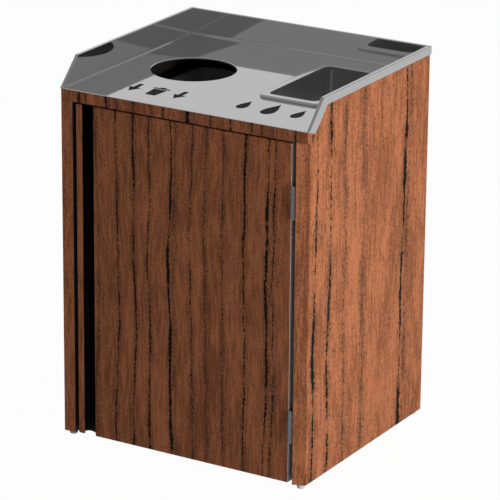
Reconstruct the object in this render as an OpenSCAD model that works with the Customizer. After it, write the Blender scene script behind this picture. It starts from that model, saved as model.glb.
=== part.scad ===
// Waste cabinet with a steel tray top, a round drop hole and a lift-out liquids pan.
// Millimetres. X to the right, Y to the back, Z up. The origin is on the floor, under the middle of the whole.

/* [Cabinet] */
// Width over the two side panels
body_w = 650; // [600:1:900]
// Depth from the front of the panels to the back of the cabinet
body_d = 565; // [545:1:700]
// Height of the steel deck above the floor
deck_h = 850; // [780:1:950]
// Thickness of the side panels
side_t = 30; // [25:1:36]
// Thickness of the back panel
back_t = 15; // [12:1:25]
// Thickness of the floor panel
floor_t = 18; // [16:1:25]
// Height of the front rail over the door
rail_h = 27; // [22:1:60]
// Set-back of the outer corner on the right panel's front edge
bevel = 12; // [2:1:16]
// Height of the glides under the side panels
glide_h = 9; // [8:1:15]
// Diameter of a glide
glide_d = 19; // [14:1:24]
// Distance of a glide's middle from the front or the back
glide_inset = 16; // [14:1:60]

/* [Steel top] */
// Thickness of the sheet steel
sheet_t = 1.5; // [1:0.1:2]
// Height of the upstand above the deck
upstand_h = 64; // [50:1:90]
// Thickness of the wood that runs up inside the upstand
core_t = 4; // [3:0.5:6]
// Height of the outer lip on the level edges
lip_h = 20; // [12:1:26]
// Width of the outer lip square to the slanted front edge
lip_slant_w = 27; // [20:1:34]
// How far the lip's front end reaches below the deck
lip_drop = 10; // [4:1:16]
// Air between the outer lip and the wood
lip_gap = 0.8; // [0.5:0.1:2]

/* [Round hole] */
// Diameter of the drop hole
hole_d = 200; // [150:1:220]
// Middle of the hole from the left side
hole_from_left = 175; // [165:1:190]
// Middle of the hole from the front
hole_from_front = 291.5; // [285:0.5:294]
// Depth of the collar turned down round the hole
collar_h = 4; // [2:0.5:10]

/* [Liquids pan] */
// Width over the rim
pan_w = 165; // [140:1:175]
// Length over the rim
pan_l = 312; // [240:1:340]
// Depth from the rim to the inside of the pan's floor
pan_depth = 150; // [100:1:200]
// Width of the rim
pan_rim_w = 19; // [12:1:24]
// Height of the rim over the deck
pan_rim_h = 6; // [4:0.5:10]
// Wall of the pan
pan_t = 1.2; // [0.8:0.1:2]
// Inner corner radius
pan_corner_r = 17; // [8:1:30]
// Outer corner radius of the rim
pan_rim_r = 22; // [12:1:36]
// Middle of the pan from the right side
pan_from_right = 155.5; // [140:0.5:160]
// Middle of the pan from the front
pan_from_front = 332.5; // [300:0.5:350]
// Air between the pan and its cut-out
pan_air = 3.8; // [2:0.1:6]
// How far the pan lifts out
pan_lift = 170; // [120:1:240]

/* [Door] */
// Thickness of the door
door_t = 30; // [25:1:36]
// Gap at the latch side
latch_gap = 10.6; // [4:0.1:14]
// Gap under the front rail
door_gap = 4; // [2:0.5:8]
// Height of the door's lower edge above the lower edge of the side panels
door_lift = 3; // [1:0.5:8]
// Width of the strip left of the finger groove
strip_w = 15; // [12:1:30]
// Width of the groove's mouth
groove_w = 31.5; // [24:0.5:45]
// Depth of the groove
groove_depth = 22; // [16:0.5:23]
// Radius of the groove's undercut bottom
groove_r = 9; // [5:0.5:10]
// How far the groove undercuts the strip
groove_undercut = 6; // [2:0.5:7]

/* [Hinges] */
// Length of a hinge
hinge_l = 76; // [60:1:100]
// Diameter of the barrel
barrel_d = 10.6; // [9:0.1:12]
// Air on each side of the barrel in the gap
barrel_air = 0.4; // [0.2:0.1:1]
// How far the pivot stands in front of the panels
pivot_proud = 2; // [1.5:0.1:4]
// Diameter of the pin
pin_d = 5; // [4:0.1:6]
// Radial running clearance between the pin and the door's knuckles
pin_air = 0.05; // [0.02:0.01:0.1]
// Thickness of a leaf
leaf_t = 2.5; // [2:0.1:3]
// Depth of a leaf, from the front of the panels to its rear edge
leaf_w = 28; // [22:1:34]
// Gap between knuckles
knuckle_air = 0.4; // [0.3:0.05:0.6]
// Middle of each hinge from the door's upper or lower edge
hinge_inset = 137; // [80:1:200]

/* [Stops and catch] */
// Diameter of a door bumper
bumper_d = 8; // [6:0.5:8.5]
// Thickness of a door bumper
bumper_t = 2.2; // [1.8:0.1:4]
// Middle of the bumpers from the door's latch edge
bumper_x = 64; // [58:1:90]
// Middle of the magnetic catch from the door's latch edge
catch_x = 134; // [110:1:200]
// Width of the catch housing
catch_w = 46; // [42:1:60]
// Depth of the catch housing
catch_d = 20; // [17:1:30]
// Height of the catch housing
catch_h = 13; // [12:1:18]
// Width of the magnet
magnet_w = 26; // [20:1:27]
// Height of the magnet
magnet_h = 7; // [5:0.5:8]
// Depth of the magnet's pocket
magnet_d = 15; // [10:1:16]
// Thickness of the strike plate
strike_t = 1; // [0.8:0.1:1.4]
// Width of the strike plate
strike_w = 40; // [30:1:50]
// Height of the strike plate
strike_h = 14; // [12:1:18]

/* [Battens and fixings] */
// Thickness of the battens under the deck
batten_t = 20; // [16:1:30]
// Height of the battens under the deck
batten_h = 40; // [36:1:60]
// Diameter of the wood dowels
dowel_d = 8; // [6:1:10]
// Length of the wood dowels
dowel_l = 30; // [24:1:36]
// Shank diameter of the wood screws
screw_d = 3.8; // [3:0.1:4.5]
// Head diameter of the wood screws
screw_head_d = 7.5; // [6.5:0.1:9]
// Length of the batten screws
batten_screw_l = 32; // [26:1:34]
// Length of the hinge screws
hinge_screw_l = 22; // [14:1:24]

/* [Waste bin] */
// Width over the bin's rim
bin_w = 285; // [240:1:300]
// Air between the bin's rim and the floor panel's front edge, seen from above
bin_front_air = 29; // [12:1:50]
// Air between the bin's rim and the back panel
bin_back_air = 28.5; // [5:0.5:50]
// Height of the bin
bin_h = 763; // [500:1:770]
// Wall of the bin
bin_t = 3; // [2:0.1:4]
// Width of the bin's turned rim
bin_rim_w = 12; // [8:1:18]
// Draw-in of each wall from the rim to the bottom
bin_draft = 20; // [5:1:30]
// Air between the left side panel and the bin's rim
bin_side_air = 25; // [20:1:45]

/* [Hidden] */
$fn = 96;
// Air at rest between pieces that move apart
rest_air = 0.3;
// Extra length of a cut past a face
over = 1;

// Panels
side_x = body_w / 2;
inner_x = side_x - side_t;
lip_proud = lip_gap + sheet_t;
barrel_proud = pivot_proud + barrel_d / 2;
front_y = (barrel_proud - lip_proud - body_d) / 2;
back_y = front_y + body_d;
back_in_y = back_y - back_t;
deck_under = deck_h - sheet_t;
top_z = deck_h + upstand_h;
rail_z = deck_under - rail_h;
floor_top = glide_h + floor_t;

// Door and its stops
stop_air = bumper_t + rest_air;
stop_y = front_y + door_t + stop_air;
hinge_gap = barrel_d + 2 * barrel_air;
door_x0 = -inner_x + latch_gap;
door_x1 = inner_x - hinge_gap;
door_z0 = glide_h + door_lift;
door_z1 = rail_z - door_gap;
door_back_y = front_y + door_t;
strip_x = door_x0 + strip_w;
batten_z = deck_under - batten_h;

// Hinges
pivot_x = inner_x - hinge_gap / 2;
pivot_y = front_y - pivot_proud;
knuckles = 5;
knuckle_l = (hinge_l - (knuckles - 1) * knuckle_air) / knuckles;
hinge_zs = [door_z1 - hinge_inset, door_z0 + hinge_inset];
hinge_screw_y = front_y + 0.6 * leaf_w;
hinge_screw_step = hinge_l / 3;
barrel_relief = 0.5;
pin_head_step = 1.3;
pin_head_d = barrel_d - 2 * pin_head_step;
pin_head_h = 2;

// Top openings
core_x = side_x - core_t;
wall_x = core_x - sheet_t;
core_y = back_y - core_t;
wall_y = core_y - sheet_t;
hole_x = -side_x + hole_from_left;
hole_y = front_y + hole_from_front;
pan_x = side_x - pan_from_right;
pan_y = front_y + pan_from_front;
pan_top = deck_h + rest_air + pan_rim_h;
pan_in_w = pan_w - 2 * pan_rim_w;
pan_in_l = pan_l - 2 * pan_rim_w;

// Catch
catch_mid_x = door_x0 + catch_x;
catch_top = batten_z;
catch_y = door_back_y + strike_t + rest_air;
catch_mid_z = catch_top - catch_h / 2;
magnet_proud = 0.5;
catch_screw_inset = 5;
catch_screw_x = catch_w / 2 - catch_screw_inset;
catch_screw_l = 26;
strike_screw_l = 16;

// Fixings
screw_head_h = 2.4;
screw_tip = 3;
recess_w = 0.9;
recess_l = 0.6 * screw_head_d;
recess_depth = 1.1;
glide_x = side_x - side_t / 2;
glide_ys = [front_y + glide_inset, back_y - glide_inset];
glide_chamfer = 1.5;
nail_d = 3;
nail_head_d = 8;
nail_head_t = 1.5;
nail_cover = 4;
nail_l = 20;
dowel_end = 60;
floor_dowel_ys = [for (i = [0:2]) stop_y + dowel_end + i * (back_in_y - stop_y - 2 * dowel_end) / 2];
back_dowel_zs = [for (i = [0:3]) floor_top + dowel_end + i * (batten_z - floor_top - 2 * dowel_end) / 3];
long_batten_xs = [for (i = [-1:1]) i * (inner_x - batten_t - dowel_end)];
side_batten_y0 = stop_y + batten_t;
side_batten_y1 = back_in_y - batten_t;
side_batten_ys = [for (i = [0:2])
    side_batten_y0 + dowel_end + i * (side_batten_y1 - side_batten_y0 - 2 * dowel_end) / 2];

// Bin
bin_x = -inner_x + bin_side_air + bin_w / 2;
bin_y0 = stop_y + bin_front_air;
bin_y1 = back_in_y - bin_back_air;
bin_l = bin_y1 - bin_y0;
bin_y = (bin_y0 + bin_y1) / 2;
bin_corner_r = 30;
bin_skirt_h = 14;

// Helpers

// A block between two opposite corners
module block(low, high) {
    translate(low) cube(high - low);
}

// A shape drawn in depth and height, drawn out along X from x0 to x1
module along_x(x0, x1) {
    translate([x0, 0, 0]) rotate([90, 0, 90]) linear_extrude(x1 - x0) children();
}

// The children on the right and, mirrored, on the left
module both_sides() {
    children();
    mirror([1, 0, 0]) children();
}

// A rectangle about the origin with round corners
module round_rect(w, l, r) {
    square([w - 2 * r, l], center = true);
    square([w, l - 2 * r], center = true);
    for (x = [-1, 1], y = [-1, 1])
        translate([x * (w / 2 - r), y * (l / 2 - r)]) circle(r);
}

// Depth of the upstand's slanted front edge at height z, set in square to the slant
function slant_y(z, inset) = front_y + z - deck_h + inset * sqrt(2);

// Side view of an upstand above height low, with its slanted and top edges set in
module upstand_outline(inset, low, end_y) {
    polygon([
        [max(front_y, slant_y(low, inset)), low],
        [max(front_y, slant_y(max(low, deck_h), inset)), max(low, deck_h)],
        [slant_y(top_z - inset, inset), top_z - inset],
        [end_y, top_z - inset],
        [end_y, low]
    ]);
}

// A countersunk wood screw, head up at the origin, pointing down
module screw_body(length) {
    shank_r = screw_d / 2;
    translate([0, 0, -screw_head_h]) cylinder(h = screw_head_h, r1 = shank_r, r2 = screw_head_d / 2);
    translate([0, 0, -(length - screw_tip)]) cylinder(h = length - screw_tip - screw_head_h, r = shank_r);
    translate([0, 0, -length]) cylinder(h = screw_tip, r1 = 0.4, r2 = shank_r);
}

// The same screw with its cross recess
module wood_screw(length) {
    difference() {
        screw_body(length);
        for (turn = [0, 90])
            rotate([0, 0, turn])
                translate([-recess_l / 2, -recess_w / 2, -recess_depth])
                    cube([recess_l, recess_w, recess_depth + over]);
    }
}

// Children at each hinge screw of the leaf on the right panel
module at_panel_leaf_screws(z) {
    for (i = [-1:1])
        translate([inner_x - leaf_t, hinge_screw_y, z + i * hinge_screw_step])
            rotate([0, -90, 0]) children();
}

// Children at each hinge screw of the leaf on the door
module at_door_leaf_screws(z) {
    for (i = [-1:1])
        translate([door_x1 + leaf_t, hinge_screw_y, z + i * hinge_screw_step])
            rotate([0, 90, 0]) children();
}

// Children at each screw of the front, rear, left and right battens
module at_front_batten_screws() {
    for (x = long_batten_xs)
        translate([x, stop_y + batten_t, rail_z + rail_h / 2]) rotate([-90, 0, 0]) children();
}

module at_rear_batten_screws() {
    for (x = long_batten_xs)
        translate([x, back_in_y - batten_t, batten_z + batten_h / 2]) rotate([90, 0, 0]) children();
}

module at_side_batten_screws() {
    for (y = side_batten_ys)
        translate([inner_x - batten_t, y, batten_z + batten_h / 2]) rotate([0, -90, 0]) children();
}

module all_batten_screws() {
    at_front_batten_screws() children();
    at_rear_batten_screws() children();
    both_sides() at_side_batten_screws() children();
}

// Every dowel: floor and back into the sides, rail down into the sides
module dowel_shapes() {
    both_sides() {
        for (y = floor_dowel_ys)
            translate([inner_x - dowel_l / 2, y, glide_h + floor_t / 2])
                rotate([0, 90, 0]) cylinder(h = dowel_l, d = dowel_d);
        for (z = back_dowel_zs)
            translate([inner_x - dowel_l / 2, back_y - back_t / 2, z])
                rotate([0, 90, 0]) cylinder(h = dowel_l, d = dowel_d);
        translate([glide_x, front_y + (stop_y - front_y) / 2, rail_z - dowel_l / 2])
            cylinder(h = dowel_l / 2 + rail_h / 2, d = dowel_d);
    }
}

// Every nail that holds a glide, its head inside the glide
module nail_shapes() {
    both_sides()
        for (y = glide_ys)
            translate([glide_x, y, nail_cover]) {
                cylinder(h = nail_head_t, d = nail_head_d);
                cylinder(h = glide_h - nail_cover + nail_l, d = nail_d);
            }
}

// Wooden carcass

module right_side_board() {
    difference() {
        union() {
            block([inner_x, front_y, glide_h], [side_x, back_y, deck_under]);
            along_x(core_x, side_x) upstand_outline(sheet_t, deck_under, back_y);
        }
        block([inner_x - over, front_y - over, rail_z], [side_x + over, stop_y, deck_under]);
        dowel_shapes();
        nail_shapes();
        at_side_batten_screws() screw_body(batten_screw_l);
    }
}

module left_side_panel() {
    color("sienna") mirror([1, 0, 0]) right_side_board();
}

module right_side_panel() {
    color("sienna") difference() {
        right_side_board();
        // The front edge leans back towards its outer corner
        translate([0, 0, glide_h - over])
            linear_extrude(rail_z - glide_h + over)
                polygon([
                    [inner_x, front_y],
                    [side_x + over, front_y + bevel * (side_t + over) / side_t],
                    [side_x + over, front_y - over],
                    [inner_x, front_y - over]
                ]);
        for (z = hinge_zs)
            at_panel_leaf_screws(z) screw_body(hinge_screw_l);
    }
}

module back_panel() {
    color("sienna") difference() {
        union() {
            block([-inner_x, back_in_y, glide_h], [inner_x, back_y, deck_under]);
            block([-core_x, core_y, deck_under], [core_x, back_y, top_z - sheet_t]);
        }
        dowel_shapes();
        at_rear_batten_screws() screw_body(batten_screw_l);
    }
}

module floor_panel() {
    color("peru") difference() {
        block([-inner_x, stop_y, glide_h], [inner_x, back_in_y, floor_top]);
        dowel_shapes();
    }
}

module front_rail() {
    color("saddlebrown") difference() {
        block([-side_x, front_y, rail_z], [side_x, stop_y, deck_under]);
        dowel_shapes();
        at_front_batten_screws() screw_body(batten_screw_l);
    }
}

// Battens that carry the deck; the front one also stops the door
module front_batten() {
    color("burlywood") difference() {
        block([-inner_x, stop_y, batten_z], [inner_x, stop_y + batten_t, deck_under]);
        at_front_batten_screws() screw_body(batten_screw_l);
        at_catch_screws() screw_body(catch_screw_l);
    }
}

module rear_batten() {
    color("burlywood") difference() {
        block([-inner_x, back_in_y - batten_t, batten_z], [inner_x, back_in_y, deck_under]);
        at_rear_batten_screws() screw_body(batten_screw_l);
    }
}

module right_batten() {
    color("burlywood") difference() {
        block([inner_x - batten_t, side_batten_y0, batten_z], [inner_x, side_batten_y1, deck_under]);
        at_side_batten_screws() screw_body(batten_screw_l);
    }
}

module left_batten() {
    mirror([1, 0, 0]) right_batten();
}

module batten_screws() {
    color("silver") all_batten_screws() wood_screw(batten_screw_l);
}

module wood_dowels() {
    color("burlywood") dowel_shapes();
}

// Steel top: deck, upstands folded over the wooden cores, and the outer lips
module steel_top() {
    outer_x = side_x + lip_proud;
    outer_y = back_y + lip_proud;
    color("silver") difference() {
        union() {
            block([-core_x, front_y, deck_under], [core_x, core_y, deck_h]);
            both_sides() {
                along_x(wall_x, core_x) upstand_outline(0, deck_under, core_y);
                along_x(wall_x, outer_x) difference() {
                    upstand_outline(0, deck_under, outer_y);
                    upstand_outline(sheet_t, deck_under - over, outer_y + over);
                }
                along_x(side_x + lip_gap, outer_x) outer_lip_outline(outer_y);
            }
            block([-core_x, wall_y, deck_under], [core_x, core_y, top_z]);
            block([-outer_x, wall_y, top_z - sheet_t], [outer_x, outer_y, top_z]);
            block([-outer_x, back_y + lip_gap, top_z - lip_h], [outer_x, outer_y, top_z]);
            translate([hole_x, hole_y, deck_under - collar_h])
                cylinder(h = collar_h + sheet_t, d = hole_d + 2 * sheet_t);
        }
        translate([hole_x, hole_y, deck_under - collar_h - over])
            cylinder(h = collar_h + sheet_t + 2 * over, d = hole_d);
        translate([pan_x, pan_y, deck_under - over])
            linear_extrude(sheet_t + 2 * over)
                round_rect(
                    pan_in_w + 2 * (pan_t + pan_air),
                    pan_in_l + 2 * (pan_t + pan_air),
                    pan_corner_r + pan_t
                );
    }
}

// Side view of the lip that hangs outside the wood
module outer_lip_outline(end_y) {
    polygon([
        [front_y, deck_under],
        [front_y, deck_h],
        [front_y + upstand_h, top_z],
        [end_y, top_z],
        [end_y, top_z - lip_h],
        [slant_y(top_z - lip_h, lip_slant_w), top_z - lip_h],
        [slant_y(deck_h - lip_drop, lip_slant_w), deck_h - lip_drop]
    ]);
}

// Pan that hangs in the deck by its raised rim and lifts straight out
module liquids_pan() {
    wall_w = pan_in_w + 2 * pan_t;
    wall_l = pan_in_l + 2 * pan_t;
    wall_r = pan_corner_r + pan_t;
    color("gainsboro") translate([pan_x, pan_y, pan_top]) difference() {
        union() {
            translate([0, 0, -pan_rim_h]) linear_extrude(pan_rim_h) round_rect(pan_w, pan_l, pan_rim_r);
            translate([0, 0, -pan_depth - pan_t])
                linear_extrude(pan_depth + pan_t) round_rect(wall_w, wall_l, wall_r);
        }
        translate([0, 0, -pan_depth])
            linear_extrude(pan_depth + over) round_rect(pan_in_w, pan_in_l, pan_corner_r);
        translate([0, 0, -pan_rim_h - over])
            linear_extrude(pan_rim_h + over - pan_t) difference() {
                round_rect(pan_w - 2 * pan_t, pan_l - 2 * pan_t, pan_rim_r - pan_t);
                round_rect(wall_w, wall_l, wall_r);
            }
    }
}

// Plan of the finger groove: x from the strip's edge, y into the door
module groove_plan() {
    lobe_x = groove_r - groove_undercut;
    run = groove_w - lobe_x;
    ramp_r = (run * run + groove_depth * groove_depth) / (2 * groove_depth);
    intersection() {
        translate([lobe_x, groove_depth - ramp_r]) circle(ramp_r);
        translate([lobe_x, -over]) square([run + over, groove_depth + 2 * over]);
    }
    intersection() {
        translate([lobe_x, groove_depth - groove_r]) circle(groove_r);
        translate([lobe_x - groove_r - over, 0]) square([groove_r + over, groove_depth + over]);
    }
    translate([0, -over]) square([lobe_x, groove_depth - groove_r + over]);
}

module door_panel() {
    color("saddlebrown") difference() {
        block([door_x0, front_y, door_z0], [door_x1, door_back_y, door_z1]);
        translate([strip_x, front_y, door_z0 - over])
            linear_extrude(door_z1 - door_z0 + 2 * over) groove_plan();
        for (z = hinge_zs)
            at_door_leaf_screws(z) screw_body(hinge_screw_l);
        at_strike_screw() screw_body(strike_screw_l);
    }
}

// Knuckles of a hinge about height z, from number first on, every second one
module knuckle_row(z, first, d, extra) {
    for (i = [first:2:knuckles - 1])
        translate([pivot_x, pivot_y, z - hinge_l / 2 + i * (knuckle_l + knuckle_air) - extra])
            cylinder(h = knuckle_l + 2 * extra, d = d);
}

module hinge_bore(z, d) {
    translate([pivot_x, pivot_y, z - hinge_l / 2 - over]) cylinder(h = hinge_l + 2 * over, d = d);
}

// Leaf on the right side panel, with knuckles 1, 3 and 5
module panel_leaf(z) {
    color("dimgray") difference() {
        union() {
            difference() {
                block([inner_x - leaf_t, front_y, z - hinge_l / 2], [inner_x, front_y + leaf_w, z + hinge_l / 2]);
                knuckle_row(z, 1, barrel_d + 2 * barrel_relief, knuckle_air);
            }
            knuckle_row(z, 0, barrel_d, 0);
        }
        hinge_bore(z, pin_d);
        at_panel_leaf_screws(z) screw_body(hinge_screw_l);
    }
}

// Leaf on the door's edge, with knuckles 2 and 4
module door_leaf(z) {
    color("gray") difference() {
        union() {
            difference() {
                block([door_x1, front_y, z - hinge_l / 2], [door_x1 + leaf_t, front_y + leaf_w, z + hinge_l / 2]);
                knuckle_row(z, 0, barrel_d + 2 * barrel_relief, knuckle_air);
            }
            knuckle_row(z, 1, barrel_d, 0);
        }
        hinge_bore(z, pin_d + 2 * pin_air);
        at_door_leaf_screws(z) screw_body(hinge_screw_l);
    }
}

module upper_hinge_panel_leaf() {
    panel_leaf(hinge_zs[0]);
}

module lower_hinge_panel_leaf() {
    panel_leaf(hinge_zs[1]);
}

module upper_hinge_door_leaf() {
    door_leaf(hinge_zs[0]);
}

module lower_hinge_door_leaf() {
    door_leaf(hinge_zs[1]);
}

// Pins, fast in the panel leaves, with a flat head on top
module hinge_pins() {
    color("lightgray")
        for (z = hinge_zs)
            translate([pivot_x, pivot_y, z - hinge_l / 2]) {
                cylinder(h = hinge_l, d = pin_d);
                translate([0, 0, hinge_l]) cylinder(h = pin_head_h, d = pin_head_d);
            }
}

module hinge_panel_screws() {
    color("silver")
        for (z = hinge_zs)
            at_panel_leaf_screws(z) wood_screw(hinge_screw_l);
}

module hinge_door_screws() {
    color("silver")
        for (z = hinge_zs)
            at_door_leaf_screws(z) wood_screw(hinge_screw_l);
}

// Magnetic catch under the front batten

module at_catch_screws() {
    for (side = [-1, 1])
        translate([catch_mid_x + side * catch_screw_x, stop_y + batten_t / 2, catch_top - catch_h])
            rotate([180, 0, 0]) children();
}

module at_strike_screw() {
    translate([catch_mid_x, door_back_y + strike_t, catch_mid_z]) rotate([-90, 0, 0]) children();
}

module magnet_block(front) {
    block(
        [catch_mid_x - magnet_w / 2, front, catch_mid_z - magnet_h / 2],
        [catch_mid_x + magnet_w / 2, catch_y + magnet_d, catch_mid_z + magnet_h / 2]
    );
}

module catch_housing() {
    color("white") difference() {
        block(
            [catch_mid_x - catch_w / 2, catch_y + magnet_proud, catch_top - catch_h],
            [catch_mid_x + catch_w / 2, catch_y + magnet_proud + catch_d, catch_top]
        );
        magnet_block(catch_y);
        at_catch_screws() screw_body(catch_screw_l);
    }
}

module catch_magnet() {
    color("darkslategray") magnet_block(catch_y);
}

module catch_screws() {
    color("silver") at_catch_screws() wood_screw(catch_screw_l);
}

module strike_plate() {
    color("silver") difference() {
        block(
            [catch_mid_x - strike_w / 2, door_back_y, catch_mid_z - strike_h / 2],
            [catch_mid_x + strike_w / 2, door_back_y + strike_t, catch_mid_z + strike_h / 2]
        );
        at_strike_screw() screw_body(strike_screw_l);
    }
}

module strike_screw() {
    color("silver") at_strike_screw() wood_screw(strike_screw_l);
}

// Rubber bumpers on the door's back: the upper one meets the front batten, the lower one the floor panel
module door_bumpers() {
    color("black")
        for (z = [(batten_z + door_z1) / 2, (door_z0 + floor_top) / 2])
            translate([door_x0 + bumper_x, door_back_y, z])
                rotate([-90, 0, 0]) cylinder(h = bumper_t, d = bumper_d);
}

// Glides under the corners of the side panels
module glides() {
    glide_r = glide_d / 2;
    color("whitesmoke") difference() {
        both_sides()
            for (y = glide_ys)
                translate([glide_x, y, 0])
                    rotate_extrude()
                        polygon([
                            [0, 0],
                            [glide_r - glide_chamfer, 0],
                            [glide_r, glide_chamfer],
                            [glide_r, glide_h],
                            [0, glide_h]
                        ]);
        nail_shapes();
    }
}

module glide_nails() {
    color("silver") nail_shapes();
}

// Waste bin that stands on the floor panel under the round hole

module bin_shape(shrink, z0, z1, low_w, low_l) {
    hull() {
        translate([0, 0, z0]) linear_extrude(1) round_rect(low_w, low_l, bin_corner_r - shrink, $fn = 32);
        translate([0, 0, z1 - 1])
            linear_extrude(1)
                round_rect(
                    bin_w - 2 * bin_rim_w - 2 * shrink,
                    bin_l - 2 * bin_rim_w - 2 * shrink,
                    bin_corner_r - shrink,
                    $fn = 32
                );
    }
}

module waste_bin() {
    low_w = bin_w - 2 * bin_rim_w - 2 * bin_draft;
    low_l = bin_l - 2 * bin_rim_w - 2 * bin_draft;
    color("dimgray") translate([bin_x, bin_y, floor_top]) difference() {
        union() {
            bin_shape(0, 0, bin_h, low_w, low_l);
            translate([0, 0, bin_h - bin_skirt_h])
                linear_extrude(bin_skirt_h) round_rect(bin_w, bin_l, bin_corner_r + bin_rim_w);
        }
        bin_shape(bin_t, bin_t, bin_h + 1 + over, low_w - 2 * bin_t, low_l - 2 * bin_t);
        translate([0, 0, bin_h - bin_skirt_h - over])
            linear_extrude(bin_skirt_h - bin_t + over) difference() {
                round_rect(bin_w - 2 * bin_t, bin_l - 2 * bin_t, bin_corner_r + bin_rim_w - bin_t);
                round_rect(bin_w - 2 * bin_rim_w, bin_l - 2 * bin_rim_w, bin_corner_r);
            }
    }
}

left_side_panel();
right_side_panel();
back_panel();
floor_panel();
front_rail();
front_batten();
rear_batten();
left_batten();
right_batten();
steel_top();
liquids_pan();
door_panel();
upper_hinge_panel_leaf();
lower_hinge_panel_leaf();
upper_hinge_door_leaf();
lower_hinge_door_leaf();
hinge_pins();
hinge_panel_screws();
hinge_door_screws();
catch_housing();
catch_magnet();
catch_screws();
strike_plate();
strike_screw();
door_bumpers();
batten_screws();
wood_dowels();
glides();
glide_nails();
waste_bin();
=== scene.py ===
# %% [markdown]
# # A waste cabinet with a mirror-steel tray top
# The cabinet is a box of dark-grained, reddish laminate boards. A folded tray of polished steel lies on it,
# with a round hole over a bin and a loose pan for liquids. A door with a finger groove hangs on the right.
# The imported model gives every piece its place. This script gives the pieces their finish, and builds finer
# versions of those whose edges, folds and curves catch the light.

# %% Load the fixed frame
import math

import bmesh
import bpy
from mathutils import Matrix, Vector


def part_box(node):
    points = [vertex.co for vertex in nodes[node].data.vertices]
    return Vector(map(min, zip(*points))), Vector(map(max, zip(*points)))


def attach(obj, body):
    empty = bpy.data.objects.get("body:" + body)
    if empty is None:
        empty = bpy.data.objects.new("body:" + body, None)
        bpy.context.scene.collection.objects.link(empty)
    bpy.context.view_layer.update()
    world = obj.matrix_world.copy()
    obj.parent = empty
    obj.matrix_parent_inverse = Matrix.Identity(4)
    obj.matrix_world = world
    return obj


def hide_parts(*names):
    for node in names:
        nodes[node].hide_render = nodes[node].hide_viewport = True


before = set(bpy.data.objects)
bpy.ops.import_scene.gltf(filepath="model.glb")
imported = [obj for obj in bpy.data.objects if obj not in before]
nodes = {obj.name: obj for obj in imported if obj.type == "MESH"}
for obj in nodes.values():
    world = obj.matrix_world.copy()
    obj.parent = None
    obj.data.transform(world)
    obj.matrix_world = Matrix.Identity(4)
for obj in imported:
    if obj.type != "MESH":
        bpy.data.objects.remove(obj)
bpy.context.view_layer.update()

# %% [markdown]
# ## Sizes that the looks share
# The places of the boards are read from the frame, so nothing has to be fitted by eye. Sheet thickness, folds
# and radii are the ones a sheet-metal shop would use for a counter top of this size.

# %% Sizes in metres
top_low, top_high = (Vector(c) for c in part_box("steel_top"))
door_low, door_high = (Vector(c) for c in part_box("door_panel"))
pan_low, pan_high = (Vector(c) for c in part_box("liquids_pan"))
bin_low, bin_high = (Vector(c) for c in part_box("waste_bin"))

SHEET = 0.0015
UPSTAND = 0.064
DECK_Z = top_high.z - UPSTAND
FRONT_Y = top_low.y
FOLD_WIDTH = 0.0078
LIP = 0.020
LIP_SLANT = 0.027 * math.sqrt(2)
LIP_DROP = 0.010
HOLE_X, HOLE_Y = -0.150, FRONT_Y + 0.2915
HOLE_R = 0.100
print("deck at", round(DECK_Z, 4), "front at", round(FRONT_Y, 4))

# %% [markdown]
# ## A small language for finishes
# A finish is a net of shader nodes. Written as sums it stays readable: `Val` wraps a socket, and adding or
# multiplying two of them adds the Math node that does it. `Finish.add` makes any other node.

# %% Sockets that can be used in sums
class Val:
    def __init__(self, finish, socket):
        self.finish = finish
        self.socket = socket

    def calc(self, operation, *others):
        inputs = {0: self}
        for place, other in enumerate(others, start=1):
            inputs[place] = other
        return self.finish.add("ShaderNodeMath", {"operation": operation}, inputs).out(0)

    def __add__(self, other):
        return self.calc("ADD", other)

    def __mul__(self, other):
        return self.calc("MULTIPLY", other)

    def __sub__(self, other):
        return self.calc("SUBTRACT", other)

    def __rsub__(self, other):
        return (self * -1.0).calc("ADD", other)

    def __truediv__(self, other):
        return self.calc("DIVIDE", other)

    __radd__ = __add__
    __rmul__ = __mul__


# %% A finish and its nodes
def pick(sockets, key):
    """A socket by its place, its identifier or its name."""
    if isinstance(key, int):
        return sockets[key]
    for socket in sockets:
        if key in (socket.identifier, socket.name):
            return socket
    raise KeyError(key)


class Made:
    def __init__(self, finish, node):
        self.finish = finish
        self.node = node

    def out(self, key):
        return Val(self.finish, pick(self.node.outputs, key))


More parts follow.
